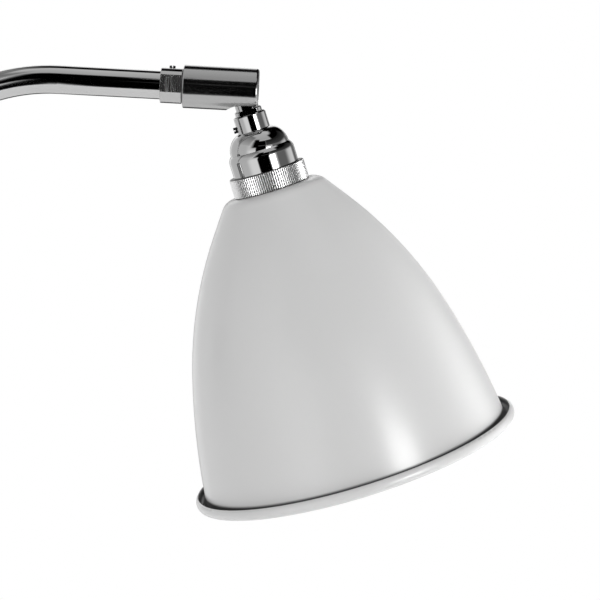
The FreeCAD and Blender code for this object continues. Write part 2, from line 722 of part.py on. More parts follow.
def swivel_collar(label, place):
    """Round collar with two spanner flats and a plug inside the tube, bored for the spigot and cross
    drilled for its lock screw."""
    body = piece(label, place)
    turned(body, [
        ("0", "0"),
        ("collar_radius - collar_chamfer", "0"),
        ("collar_radius", "collar_chamfer"),
        ("collar_radius", "collar_length - collar_chamfer"),
        ("collar_radius - collar_chamfer", "collar_length"),
        ("0", "collar_length"),
    ])
    for side in ("", "-"):
        base = sketch_on(body, "XZ_Plane", ("0", "0", f"{side}collar_flats / 2"))
        flat = outline(base, box("-collar_radius", f"-{PAST}", "collar_radius", f"collar_length + {PAST}"))
        cut(body, flat, "collar_radius", outward=not side)
    plug = circle(sketch_on(body, "XY_Plane"), "0", "0", TUBE_INSIDE)
    padded(body, plug, "socket_plug", reverse=True)
    top = ("0", "0", "collar_length")
    depth = "spigot_reach + joint_washer_sheet"
    cut(body, circle(sketch_on(body, "XY_Plane", top), "0", "0", SPIGOT_SEAT), depth)
    cut(body, circle(sketch_on(body, "XY_Plane", top), "0", "0", f"{SPIGOT_BORE} + collar_cable_clearance"))
    screw_hole = circle(sketch_on(body, "YZ_Plane"), "0", "collar_length / 2", "lock_screw_radius")
    cut(body, screw_hole)


def side_screw(body, tip, shoulder, end, height, way, tip_radius):
    """Slotted headless screw across the axis at a height, with a plain tip."""
    turned(body, [
        (f"{way}({tip})", "0"),
        (f"{way}({tip})", tip_radius),
        (f"{way}({shoulder})", tip_radius),
        (f"{way}({shoulder})", "lock_screw_radius"),
        (f"{way}({end})", "lock_screw_radius"),
        (f"{way}({end})", "0"),
    ], about="H_Axis", offset=("0", height, "0"))
    slot = cross_slot(f"{way}({end} + {PAST})", f"{way}({end} - screw_slot_depth)")
    slot_sketch = outline(sketch_on(body, "XZ_Plane", ("0", height, "0")), slot)
    cut(body, slot_sketch, "4 * lock_screw_radius", symmetric=True)


def lock_screw(label, place):
    """Lock screw of a collar: its thin tip reaches into the spigot's groove."""
    body = piece(label, place)
    tip = f"{SPIGOT} - lock_groove_depth + lock_groove_clearance"
    shoulder = f"{SPIGOT} + 4 * running_clearance"
    end = "collar_radius + lock_screw_proud"
    side_screw(body, tip, shoulder, end, "collar_length / 2", "-", "lock_tip_radius")


# Knuckle


def knuckle_housing():
    """Turned housing with a slot for the ball of the stem, as a ball nosed cutter leaves it: from below
    and out through the far end, with a round roof and a round inner end."""
    body = piece("knuckle_housing", HEAD_JOINT)
    housing_blank(body)
    way = circle(sketch_on(body, "XY_Plane", ("0", "0", HOUSING_START)), "0", "0", "cable_way_radius")
    cut(body, way, f"{PIVOT_AT} - {HOUSING_START}", outward=True)
    cut_round(body, [
        (f"-{FORK_HALF}", "0"),
        ("housing_diameter", "0"),
        ("housing_diameter", FORK_HALF),
        ("0", FORK_HALF, FORK_HALF, "0", "0", 1),
    ], ("0", PIVOT_AT, "0"))
    slot = outline(sketch_on(body, "XY_Plane", ("0", "0", PIVOT_AT)), [
        ("housing_diameter", f"-{FORK_HALF}"),
        ("housing_diameter", FORK_HALF),
        ("0", FORK_HALF, FORK_HALF, "0", "0", 1),
        ("0", f"-{FORK_HALF}"),
    ])
    cut(body, slot, f"pivot_setback + {PAST}", outward=True)
    pin_hole = circle(sketch_on(body, "XZ_Plane"), "0", PIVOT_AT, "pivot_pin_radius")
    cut(body, pin_hole, symmetric=True)


def pivot_pins():
    """Two trunnion pins, flush with the outside of the housing, that leave the middle free for the flex."""
    body = piece("pivot_pins", HEAD_JOINT)
    base = ("0", "0", PIN_INNER)
    pin = padded(body, circle(sketch_on(body, "XZ_Plane", base), "0", PIVOT_AT, "pivot_pin_radius"),
                 f"housing_diameter / 2 - {PIN_INNER}")
    trim = sketch_on(body, "XY_Plane", ("0", "0", PIVOT_AT))
    circle(trim, "0", "0", "housing_diameter / 2")
    circle(trim, "0", "0", "housing_diameter")
    flush = cut(body, trim, "housing_diameter", symmetric=True)
    mirrored(body, [pin, flush], "XZ_Plane")


def knuckle_stem():
    """Hollow stem with a ball top, drilled from both sides for the trunnion pins. Its shoulder seats on
    the cap, and two spanner flats are milled through the shoulder and the shank above it."""
    body = piece("knuckle_stem", HEAD)
    reach = f"sqrt({BALL} ^ 2 - {STEM_BORE} ^ 2)"
    neck = f"sqrt({BALL} ^ 2 - {STEM} ^ 2)"
    turned(body, [
        (STEM_BORE, f"-{reach}", BALL, "0", "0", 1),
        (STEM, neck),
        (STEM, "shoulder_top"),
        (f"{SHOULDER} - shoulder_chamfer", "shoulder_top"),
        (SHOULDER, "shoulder_top + shoulder_chamfer"),
        (SHOULDER, f"{CAP_TOP} - shoulder_chamfer"),
        (f"{SHOULDER} - shoulder_chamfer", CAP_TOP),
        (STEM, CAP_TOP),
        (STEM, STEM_END),
        (STEM_BORE, STEM_END),
    ])
    for side in ("", "-"):
        base = sketch_on(body, "XZ_Plane", ("0", "0", f"{side}({SHOULDER} - stem_flat_depth)"))
        flat = outline(base, box(f"-{BALL}", "shoulder_top - stem_flat_rise", BALL, CAP_TOP))
        cut(body, flat, BALL, outward=not side)
    depth = "pivot_pin_engagement + 2 * running_clearance"
    radius = "pivot_pin_radius + running_clearance"
    side = ("0", "0", BALL)
    hole = cut(body, circle(sketch_on(body, "XZ_Plane", side), "0", "0", radius), depth)
    mirrored(body, [hole], "XZ_Plane")


# Lampholder


def holder_cap():
    """Domed cap with a threaded collar for the stem and a cross hole for its grub screw."""
    body = piece("holder_cap", HEAD)
    inner_dome = "(cap_dome_radius - cap_wall)"
    dome_foot = f"({COLLAR_FOOT} + cap_dome_depth)"
    bow_centre = (f"cap_dome_radius - {CAP_BOW}", dome_foot)
    ceiling = f"({COLLAR_FOOT} + cap_wall)"
    inner_step = f"({bow_centre[0]} + sqrt({CAP_INNER_BOW} ^ 2 - (cap_dome_depth - cap_wall) ^ 2))"
    turned(body, [
        (STEM, CAP_TOP),
        ("cap_collar_radius - cap_collar_chamfer", CAP_TOP),
        ("cap_collar_radius", f"{CAP_TOP} + cap_collar_chamfer"),
        ("cap_collar_radius", COLLAR_FOOT),
        (CAP_STEP, COLLAR_FOOT, CAP_BOW, *bow_centre, 1),
        ("cap_dome_radius", dome_foot),
        ("cap_dome_radius", CREASE),
        (inner_dome, CREASE),
        (inner_dome, dome_foot, CAP_INNER_BOW, *bow_centre, -1),
        (inner_step, ceiling),
        (STEM, ceiling),
    ])
    drop = f"{CAP_TOP} + grub_drop"
    cut(body, circle(sketch_on(body, "YZ_Plane"), "0", drop, "lock_screw_radius"), outward=True)


def cap_grub_screw():
    """Slotted grub screw that locks the cap on the stem."""
    body = piece("cap_grub_screw", HEAD)
    end = "cap_collar_radius + grub_proud"
    side_screw(body, STEM, f"{STEM} + grub_tip", end, f"{CAP_TOP} + grub_drop", "", "lock_tip_radius")


def holder_body():
    """Lower half of the holder: a neck inside the cap, a rounded shoulder, the plain skirt, then the
    thread for the shade rings."""
    body = piece("holder_body", HEAD)
    neck_rise = "(body_neck - cap_skirt)"
    neck = f"(cap_dome_radius - {CAP_BOW} + sqrt({CAP_INNER_BOW} ^ 2 - {neck_rise} ^ 2) - running_clearance)"
    neck_bore = f"({neck} - body_wall)"
    neck_top = f"({CREASE} - body_neck)"
    crease_radius = "(cap_dome_radius + body_lip)"
    widen = f"(body_radius - {crease_radius})"
    bow = f"(({widen} * {widen} + body_shoulder * body_shoulder) / (2 * {widen}))"
    turned(body, [
        (neck_bore, neck_top),
        (neck, neck_top),
        (neck, CREASE),
        (crease_radius, CREASE, bow, f"body_radius - {bow}", f"{CREASE} + body_shoulder", 1),
        ("body_radius", f"{CREASE} + body_shoulder"),
        ("body_radius", BODY_STEP),
        (BODY_THREAD, BODY_STEP),
        (BODY_THREAD, BODY_END),
        (BODY_BORE, BODY_END),
        (BODY_BORE, INSERT_TOP),
        (neck_bore, INSERT_TOP),
    ])


def holder_insert():
    """Ceramic disc that carries the two plungers."""
    body = piece("holder_insert", HEAD)
    turned(body, [("0", INSERT_TOP), (BODY_BORE, INSERT_TOP), (BODY_BORE, INSERT_END), ("0", INSERT_END)])
    for side in ("", "-"):
        hole = circle(sketch_on(body, "XY_Plane"), f"{side}plunger_offset", "0", "plunger_radius")
        cut(body, hole, outward=True)


def insert_terminals():
    """Two brass terminal blocks on top of the insert, each with a wire hole."""
    body = piece("insert_terminals", HEAD)
    half = "terminal_cube / 2"
    for side in ("", "-"):
        base = sketch_on(body, "XY_Plane", (f"{side}plunger_offset", "0", f"{INSERT_TOP} - terminal_cube"))
        padded(body, outline(base, box(f"-{half}", f"-{half}", half, half)), "terminal_cube")
    wire = circle(sketch_on(body, "YZ_Plane"), "0", f"{INSERT_TOP} - {half}", "terminal_wire_radius")
    cut(body, wire, symmetric=True)


def contact_plungers():
    """Two stepped plungers that press on the bulb's contacts."""
    body = piece("contact_plungers", HEAD)
    start = f"({INSERT_END} + plunger_proud - plunger_length)"
    for side in ("", "-"):
        base = sketch_on(body, "XY_Plane", ("0", "0", start))
        shank = circle(base, f"{side}plunger_offset", "0", "plunger_radius")
        padded(body, shank, "plunger_length - plunger_nose")
        base = sketch_on(body, "XY_Plane", ("0", "0", start))
        nose = circle(base, f"{side}plunger_offset", "0", "plunger_nose_radius")
        padded(body, nose, "plunger_length")


def plunger_springs():
    """Space that each plunger's spring fills behind it, as a plain sleeve."""
    body = piece("plunger_springs", HEAD)
    start = f"({INSERT_END} + plunger_proud - plunger_length)"
    for side in ("", "-"):
        base = sketch_on(body, "XY_Plane", ("0", "0", INSERT_TOP))
        circle(base, f"{side}plunger_offset", "0", "plunger_radius")
        circle(base, f"{side}plunger_offset", "0", "plunger_radius - spring_wall")
        padded(body, base, f"{start} - {INSERT_TOP}")


def bayonet_liner():
    """Sleeve in the mouth of the holder with two hooked slots for the bulb's pins."""
    body = piece("bayonet_liner", HEAD)
    turned(body, tube_corners("bulb_cap_radius + liner_clearance", BODY_BORE, INSERT_END, LINER_END))
    half = "bayonet_width / 2"
    top, foot = f"({BAYONET} - {half})", f"({BAYONET} + {half})"
    slot = outline(sketch_on(body, "XZ_Plane"), [
        (f"-{half}", top),
        (f"bayonet_turn + {half}", top),
        (f"bayonet_turn + {half}", f"{foot} + bayonet_notch"),
        (f"bayonet_turn - {half}", f"{foot} + bayonet_notch"),
        (f"bayonet_turn - {half}", foot),
        (half, foot),
        (half, f"{LINER_END} + {PAST}"),
        (f"-{half}", f"{LINER_END} + {PAST}"),
    ])
    around(body, [cut(body, slot)], "2")


def upper_shade_ring():
    """Knurled ring above the shade: even straight grooves all round and a chamfer at both ends."""
    body = piece("upper_shade_ring", HEAD)
    turned(body, [
        (BODY_THREAD, BODY_STEP),
        ("ring_radius - ring_chamfer", BODY_STEP),
        ("ring_radius", f"{BODY_STEP} + ring_chamfer"),
        ("ring_radius", f"{SHADE_TOP} - ring_chamfer"),
        ("ring_radius - ring_chamfer", SHADE_TOP),
        (BODY_THREAD, SHADE_TOP),
    ])
    groove = outline(sketch_on(body, "XY_Plane", ("0", "0", BODY_STEP)), [
        ("ring_radius - knurl_depth", "0"),
        ("ring_radius + knurl_depth", "-knurl_width"),
        ("ring_radius + knurl_depth", "knurl_width"),
    ])
    around(body, [cut(body, groove, "ring_depth", outward=True)], "knurl_count")


def lower_shade_ring():
    """Notched ring inside the shade that clamps it against the upper one."""
    body = piece("lower_shade_ring", HEAD)
    top = f"({SHADE_TOP} + shade_sheet)"
    turned(body, tube_corners(BODY_THREAD, "lower_ring_radius", top, f"{top} + lower_ring_depth"))
    notch = circle(sketch_on(body, "XY_Plane", ("0", "0", top)), "lower_ring_radius", "0", "lower_ring_notch")
    around(body, [cut(body, notch, "lower_ring_depth", outward=True)], "lower_ring_notch_count")


def bulb_cap():
    """Plain bayonet cap of the bulb with its two side pins."""
    body = piece("bulb_cap", HEAD)
    wall = "(bulb_cap_radius - bulb_cap_wall)"
    turned(body, [
        ("bulb_disc_radius", BULB_TOP),
        ("bulb_cap_radius", BULB_TOP),
        ("bulb_cap_radius", CAP_END),
        (wall, CAP_END),
        (wall, f"{BULB_TOP} + bulb_cap_wall"),
        ("bulb_disc_radius", f"{BULB_TOP} + bulb_cap_wall"),
    ])
    start = "(bulb_cap_radius - bulb_pin_seat)"
    wide = "(bayonet_turn + bulb_pin_radius)"
    far = f"({BODY_BORE} - bulb_pin_clearance)"
    reach = f"sqrt({far} * {far} - {wide} * {wide})"
    base = sketch_on(body, "XZ_Plane", ("0", "0", f"-{start}"))
    pin = padded(body, circle(base, "bayonet_turn", f"{BAYONET} + bayonet_notch", "bulb_pin_radius"),
                 f"{reach} - {start}", reverse=True)
    around(body, [pin], "2")


def bulb_disc():
    """Insulating disc in the top of the bulb's cap, which the plungers press on."""
    body = piece("bulb_disc", HEAD)
    turned(body, [
        ("0", BULB_TOP),
        ("bulb_disc_radius", BULB_TOP),
        ("bulb_disc_radius", f"{BULB_TOP} + bulb_disc_depth"),
        ("0", f"{BULB_TOP} + bulb_disc_depth"),
    ])


def bulb_glass():
    """Pear shaped glass: the neck in the cap, a hollow bow, then the round end."""
    body = piece("bulb_glass", HEAD)
    bow_height = f"({CAP_END} + glass_neck_rise)"
    rise = f"({GLASS_CENTRE} - {bow_height})"
    bow = f"(({GLASS_NECK} ^ 2 + {rise} ^ 2 - glass_radius ^ 2) / (2 * (glass_radius - {GLASS_NECK})))"
    side = f"({GLASS_NECK} + {bow})"
    span = f"(glass_radius + {bow})"
    start = f"({CAP_END} - glass_neck_inside)"

    def joint(radius):
        return f"{side} * ({radius}) / {span}", f"{GLASS_CENTRE} - {rise} * ({radius}) / {span}"

    thin = "glass_radius - glass_wall"
    wide = f"{bow} + glass_wall"
    turned(body, [
        (GLASS_NECK, start),
        (GLASS_NECK, bow_height, bow, side, bow_height, -1),
        (*joint("glass_radius"), "glass_radius", "0", GLASS_CENTRE, 1),
        ("0", f"{GLASS_CENTRE} + glass_radius"),
        ("0", f"{GLASS_CENTRE} + {thin}", thin, "0", GLASS_CENTRE, -1),
        (*joint(thin), wide, side, bow_height, 1),
        (f"{GLASS_NECK} - glass_wall", bow_height),
        (f"{GLASS_NECK} - glass_wall", start),
    ])


def shade():
    """Spun shade: flat crown, shoulder, cone, two long bows and an open bead curled outward at the rim."""
    body = piece("shade", HEAD)
    steep, middle, mouth = "shade_cone_angle", "shade_middle_angle", "shade_mouth_angle"

    def step(point, reach, turn):
        """Move along a wall that leans by an angle from the axis."""
        return f"({point[0]} + {reach} * sin({turn}))", f"({point[1]} + {reach} * cos({turn}))"

    def inward(point, reach, turn):
        """Move square to that wall, towards the axis."""
        return f"({point[0]} - {reach} * cos({turn}))", f"({point[1]} + {reach} * sin({turn}))"

    def bend(point, radius, first, last):
        """End of an arc that turns the wall from one lean to another."""
        return (f"({point[0]} + {radius} * (cos({last}) - cos({first})))",
                f"({point[1]} + {radius} * (sin({first}) - sin({last})))")

    hole = f"({BODY_THREAD} + shade_hole_clearance)"
    sheet_inside = "(shade_shoulder_radius - shade_sheet)"
    crown = ("shade_crown_radius", SHADE_TOP)
    shoulder_centre = ("shade_crown_radius", f"({SHADE_TOP} + shade_shoulder_radius)")
    shoulder = bend(crown, "shade_shoulder_radius", "90", steep)
    cone = step(shoulder, "shade_cone_length", steep)
    upper = bend(cone, "shade_upper_bow", steep, middle)
    lower = bend(upper, "shade_lower_bow", middle, mouth)
    upper_centre = inward(cone, "shade_upper_bow", steep)
    lower_centre = inward(upper, "shade_lower_bow", middle)
    curl_inner = "(bead_radius - shade_sheet)"
    curl_centre = inward(lower, f"(-1) * {curl_inner}", mouth)

    def curl(radius):
        """Free edge of the curl at a radius from its centre."""
        return (f"({curl_centre[0]} + {radius} * cos(curl_end_angle))",
                f"({curl_centre[1]} - {radius} * sin(curl_end_angle))")

    turned(body, [
        (hole, SHADE_TOP),
        (*crown, "shade_shoulder_radius", *shoulder_centre, 1),
        shoulder,
        (*cone, "shade_upper_bow", *upper_centre, 1),
        (*upper, "shade_lower_bow", *lower_centre, 1),
        (*lower, curl_inner, *curl_centre, -1),
        curl(curl_inner),
        (*curl("bead_radius"), "bead_radius", *curl_centre, 1),
        (*inward(lower, "shade_sheet", mouth), "(shade_lower_bow - shade_sheet)", *lower_centre, -1),
        (*inward(upper, "shade_sheet", middle), "(shade_upper_bow - shade_sheet)", *upper_centre, -1),
        inward(cone, "shade_sheet", steep),
        (*inward(shoulder, "shade_sheet", steep), sheet_inside, *shoulder_centre, -1),
        ("shade_crown_radius", f"({SHADE_TOP} + shade_sheet)"),
        (hole, f"({SHADE_TOP} + shade_sheet)"),
    ])


mounting_plate()
terminal_block()
terminal_screws()
earth_screw()
wall_rose()
rose_screws()
rose_nut()
rose_washers()
distance_sleeve()
wall_nipple()
wall_barrel()
joint_spigot("wall_spigot", LOWER_JOINT, "wall_swing_angle")
joint_washer("wall_joint_washer", LOWER_JOINT)
arm_tube()
swivel_collar("lower_hex_collar", LOWER_JOINT)
lock_screw("lower_lock_screw", LOWER_JOINT)
swivel_collar("head_hex_collar", HEAD_COLLAR)
lock_screw("head_lock_screw", HEAD_COLLAR)
knuckle_housing()
joint_spigot("head_spigot", HEAD_COLLAR, "head_roll_angle")
joint_washer("head_joint_washer", HEAD_JOINT)
pivot_pins()
knuckle_stem()
holder_cap()
cap_grub_screw()
holder_body()
holder_insert()
insert_terminals()
contact_plungers()
plunger_springs()
bayonet_liner()
upper_shade_ring()
lower_shade_ring()
bulb_cap()
bulb_disc()
bulb_glass()
shade()

doc.recompute()
for item in doc.Objects:
    if "Invalid" in item.State or "Error" in item.State:
        raise RuntimeError(item.Label + " has failed")
for body in pieces:
    if body.Shape.isNull() or not body.Shape.isValid():
        raise RuntimeError(body.Label + " has no sound shape")

os.makedirs("parts", exist_ok=True)
for body in pieces:
    body.Shape.exportStep(f"parts/{body.Label}.step")
    print(body.Label, len(body.Shape.Solids), round(body.Shape.Volume, 1))
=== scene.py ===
"""Looks of the articulating wall lamp: finishes, soft studio and the photograph's camera."""
import json
import math

import bpy
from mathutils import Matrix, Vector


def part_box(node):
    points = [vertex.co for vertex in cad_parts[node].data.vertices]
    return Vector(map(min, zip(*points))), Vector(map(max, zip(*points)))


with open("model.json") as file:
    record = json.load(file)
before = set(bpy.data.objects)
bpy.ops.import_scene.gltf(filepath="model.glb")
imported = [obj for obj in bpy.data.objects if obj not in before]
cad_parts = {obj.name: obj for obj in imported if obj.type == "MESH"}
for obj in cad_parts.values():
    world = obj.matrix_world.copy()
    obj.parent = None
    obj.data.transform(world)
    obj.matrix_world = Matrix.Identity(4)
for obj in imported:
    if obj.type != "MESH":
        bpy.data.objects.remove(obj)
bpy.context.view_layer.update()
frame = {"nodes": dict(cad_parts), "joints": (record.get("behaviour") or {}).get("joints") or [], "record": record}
nodes = frame["nodes"]

MM = 0.001
WHITE = (1.0, 1.0, 1.0, 1.0)
JOINTS = {joint["name"]: joint for joint in frame["joints"]}
SWING, ROLL, TILT = JOINTS["arm_swing"], JOINTS["head_roll"], JOINTS["shade_tilt"]

# Parts of a noise's range that a finish is spread over: the narrower one gives the harder contrast
SOFT_RANGE = (0.3, 0.7)
CRISP_RANGE = (0.35, 0.65)


# Places and sizes taken from the CAD pieces


def middle(node):
    """Middle of a CAD node's box."""
    low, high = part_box(node)
    return (low + high) / 2


def reach_of(node, spot, axis):
    """How far a CAD node's points reach out from an axis through a spot, and along that axis."""
    line = Vector(axis)
    outs, alongs = [], []
    for vertex in nodes[node].data.vertices:
        away = vertex.co - Vector(spot)
        along = away.dot(line)
        outs.append((away - along * line).length)
        alongs.append(along)
    return max(outs), max(alongs)


RING_MIDDLE = middle("upper_shade_ring")
SHADE_AXIS = (RING_MIDDLE - Vector(TILT["pos_m"])).normalized()
ROUND_SLACK = 0.07 * MM  # a collar's round lies within this of its radius, and its flats lie deeper
BEAD_RADIUS = 2.9 * MM  # outside of the curl at the shade's rim
SHADE_LINE_RISE = 0.19 * MM  # the painted shade's middle lies this far above the middle of the rim's curl


def rim_fold():
    """Middle of the painted shade in the rim's curl: its distance from the shade's axis, and along it from the
    pivot."""
    widest, lowest = reach_of("shade", TILT["pos_m"], SHADE_AXIS)
    return widest - BEAD_RADIUS, lowest - BEAD_RADIUS - SHADE_LINE_RISE


# Node trees


class Tree:
    """Shorthand for building a material's or the world's nodes."""

    def __init__(self, owner):
        owner.use_nodes = True
        self.tree = owner.node_tree
        self.tree.nodes.clear()

    def add(self, kind, inputs=None, **settings):
        """Add a node. An input is a value, or an output to link to it."""
        node = self.tree.nodes.new("ShaderNode" + kind)
        for name, value in settings.items():
            setattr(node, name, value)
        for name, value in (inputs or {}).items():
            socket = node.inputs[name]
            if isinstance(value, bpy.types.NodeSocket):
                self.tree.links.new(value, socket)
            else:
                socket.default_value = value
        return node

    def maths(self, operation, *values, clamp=False):
        """One operation on values or outputs."""
        return self.add("Math", dict(enumerate(values)), operation=operation, use_clamp=clamp).outputs[0]

    def blend(self, first, second, share):
        """Two outputs added up, where the first has a share of the whole."""
        part = self.maths("MULTIPLY", first, share)
        rest = self.maths("MULTIPLY", second, 1.0 - share)
        return self.maths("ADD", part, rest)

    def vectors(self, operation, first, second):
        """A node with one operation on two vectors."""
        return self.add("VectorMath", {0: first, 1: second}, operation=operation)

    def spread(self, source, low, high, start=0.0, stop=1.0):
        """Map an output's range from start to stop to the range from low to high."""
        inputs = {"Value": source, "From Min": start, "From Max": stop, "To Min": low, "To Max": high}
        return self.add("MapRange", inputs).outputs["Result"]

    def shades(self, source, dark, light):
        """Turn a factor into greys or tints between two colours."""
        mapped = self.add("ValToRGB", {"Fac": source})
        mapped.color_ramp.elements[0].color = (*dark, 1.0)
        mapped.color_ramp.elements[1].color = (*light, 1.0)
        return mapped.outputs["Color"]

    def glow(self, level):
        """White light of a level."""
        return self.add("Emission", {"Color": WHITE, "Strength": level}).outputs[0]

    def mixed(self, share, first, second):
        """Two shaders mixed, where the second has the share."""
        return self.add("MixShader", {0: share, 1: first, 2: second}).outputs[0]


def grey(value):
    """A neutral colour."""
    return (value, value, value)


def place(tree, along=None, stretch=1.0, across=1.0):
    """The object's own coordinates in metres, or those turned so that one axis runs along a direction,
    with that axis stretched."""
    own = tree.add("TexCoord").outputs["Object"]
    if along is None:
        return own
    lean = math.atan2(along[0], along[2])
    turned = tree.add("Mapping", {"Vector": own, "Rotation": (0.0, -lean, 0.0)})
    return tree.add("Mapping", {"Vector": turned.outputs[0], "Scale": (across, across, stretch)}).outputs[0]


def noise(tree, where, scale, detail=2.0, rough=0.5):
    """Noise at a scale in features per metre."""
    inputs = {"Vector": where, "Scale": scale, "Detail": detail, "Roughness": rough}
    return tree.add("TexNoise", inputs).outputs["Fac"]


def bumped(tree, height, strength, depth, edge=None):
    """A normal from a height, over softened edges where an edge radius is given."""
    inputs = {"Height": height, "Strength": strength, "Distance": depth}
    if edge:
        inputs["Normal"] = tree.add("Bevel", {"Radius": edge}, samples=4).outputs[0]
    return tree.add("Bump", inputs).outputs[0]


def along_axis(tree, spot, axis):
    """Distance of a surface point along an axis from a spot, and the vector to it from that spot."""
    away = tree.vectors("SUBTRACT", place(tree), spot).outputs[0]
    return tree.vectors("DOT_PRODUCT", away, axis).outputs["Value"], away


def from_axis(tree, spot, axis):
    """Distance of a surface point from an axis through a spot."""
    along, away = along_axis(tree, spot, axis)
    foot = tree.add("VectorMath", {0: axis, "Scale": along}, operation="SCALE").outputs[0]
    across = tree.vectors("SUBTRACT", away, foot).outputs[0]
    return tree.add("VectorMath", {0: across}, operation="LENGTH").outputs["Value"]


def finish_of(name):
    """A new material and its tree."""
    made = bpy.data.materials.new(name)
    return made, Tree(made)


def surfaced(tree, inputs):
    """End a tree in one principled shader."""
    shader = tree.add("BsdfPrincipled", inputs)
    tree.add("OutputMaterial", {"Surface": shader.outputs[0]})


# Finishes


def polished_chrome(name, base=0.47, rough=0.035, wave=0.15):
    """Bright plating: faint polishing haze, hair scratches and the slight waviness of the metal below."""
    made, tree = finish_of(name)
    where = place(tree)
    haze = noise(tree, where, 45.0, detail=3.0)
    squeezed = tree.add("Mapping", {"Vector": where, "Scale": (1.0, 1.0, 9.0)}).outputs[0]
    hairs = noise(tree, squeezed, 900.0, detail=4.0, rough=0.7)
    surfaced(tree, {
        "Base Color": tree.shades(haze, grey(base * 0.97), grey(base * 1.03)), "Metallic": 1.0,
        "Roughness": tree.spread(tree.blend(haze, hairs, 0.6), rough * 0.5, rough * 1.9, *SOFT_RANGE),
        "Normal": bumped(tree, noise(tree, where, 110.0), wave, depth=0.03 * MM, edge=0.18 * MM),
    })
    return made


def brushed_chrome(name, along):
    """Plating over fine polishing lines that run the length of a barrel."""
    made, tree = finish_of(name)
    lines = noise(tree, place(tree, along, stretch=0.012), 2300.0, detail=3.0, rough=0.7)
    bands = noise(tree, place(tree, along, stretch=0.03), 520.0)
    marks = tree.blend(lines, bands, 0.6)
    surfaced(tree, {
        "Base Color": tree.shades(marks, grey(0.31), grey(0.41)), "Metallic": 1.0,
        "Roughness": tree.spread(marks, 0.09, 0.17, *CRISP_RANGE),
        "Normal": bumped(tree, marks, 0.22, depth=0.06 * MM),
    })
    return made


def flatted_chrome(name, node, joint):
    """Polished round collar whose two milled flats keep their cutting marks, square to its axis."""
    made, tree = finish_of(name)
    spot, axis = joint["pos_m"], joint["axis"]
    radius, _ = reach_of(node, spot, axis)
    fine = noise(tree, place(tree, axis, across=0.03), 1300.0, rough=0.6)
    broad = noise(tree, place(tree, axis, across=0.12), 520.0)
    marks = tree.blend(fine, broad, 0.7)
    flat = tree.maths("LESS_THAN", from_axis(tree, spot, axis), radius - ROUND_SLACK)
    rough = tree.spread(marks, 0.20, 0.34, *CRISP_RANGE)
    height = tree.maths("MULTIPLY", tree.maths("SUBTRACT", marks, 0.5), flat)
    tone = tree.maths("MULTIPLY", tree.spread(marks, 0.0, 1.0, *SOFT_RANGE), flat)
    surfaced(tree, {
        "Base Color": tree.shades(tone, grey(0.42), grey(0.74)), "Metallic": 1.0,
        "Roughness": tree.add("Mix", {0: flat, 2: 0.045, 3: rough}).outputs[0],
        "Normal": bumped(tree, height, 0.10, depth=0.06 * MM, edge=0.2 * MM),
    })
    return made


def knurled_chrome(name):
    """Satin plating on the shade ring's knurl: pale ribs, grooves painted near black as painted shade, and specks
    where the ribs are rough."""
    made, tree = finish_of(name)
    rim, _ = reach_of("upper_shade_ring", RING_MIDDLE, SHADE_AXIS)
    specks = noise(tree, place(tree), 1500.0, detail=3.0, rough=0.65)
    out = from_axis(tree, RING_MIDDLE, SHADE_AXIS)
    # painted shade: the grooves are darkened to grey 0.03 and the ribs stay pale
    ribs = tree.spread(out, 0.0, 1.0, rim - 0.28 * MM, rim - 0.08 * MM)
    groove_shade_and_specks = tree.maths("MULTIPLY", ribs, tree.spread(specks, 0.82, 1.0, 0.35, 0.6))
    surfaced(tree, {
        "Base Color": tree.shades(groove_shade_and_specks, grey(0.03), grey(0.90)), "Metallic": 1.0,
        "Roughness": tree.spread(specks, 0.32, 0.44, *SOFT_RANGE),
        "Normal": bumped(tree, specks, 0.25, depth=0.04 * MM),
    })
    return made


def plated_metal(name, dark, light, rough=0.32, scale=320.0):
    """Zinc, nickel or black plate: patchy crystals, a dull bloom and fine pits."""
    made, tree = finish_of(name)
    where = place(tree)
    cells = tree.add("TexVoronoi", {"Vector": where, "Scale": scale}).outputs["Color"]
    tone = tree.add("SeparateColor", {"Color": cells}).outputs[0]
    bloom = noise(tree, where, 70.0, detail=4.0)
    pits = noise(tree, where, 1900.0, detail=3.0)
    surfaced(tree, {
        "Base Color": tree.shades(tree.blend(tone, bloom, 0.4), dark, light), "Metallic": 1.0,
        "Roughness": tree.spread(bloom, rough * 0.75, rough * 1.3, *SOFT_RANGE),
        "Normal": bumped(tree, pits, 0.2, depth=0.04 * MM, edge=0.15 * MM),
    })
    return made


def clear_of_rim_shade(tree):
    """1 on the lamp shade, and less where shade is painted into the curl of its rim and on the wall by it,
    standing in for the shadow in that crease.
    """
    fold_out, fold_along = rim_fold()
    along, _ = along_axis(tree, TILT["pos_m"], SHADE_AXIS)
    out = from_axis(tree, TILT["pos_m"], SHADE_AXIS)
    section = tree.add("CombineXYZ", {"X": out, "Y": along}).outputs[0]
    depth = tree.vectors("DISTANCE", section, (fold_out, fold_along, 0.0)).outputs["Value"]
    # painted shade: the wall just above the curl is darkened where shadow falls in the crease
    on_wall = tree.maths("COMPARE", out, fold_out - 2.0 * MM, 0.6 * MM)
    low_down = tree.spread(along, 0.0, 1.0, fold_along - 3.0 * MM, fold_along - 1.9 * MM)
    shaded_wall = tree.maths("MULTIPLY", on_wall, low_down)
    outside = tree.spread(depth, 0.0, 1.0, 2.1 * MM, 2.8 * MM)
    return tree.maths("MULTIPLY", outside, tree.maths("SUBTRACT", 1.0, shaded_wall))


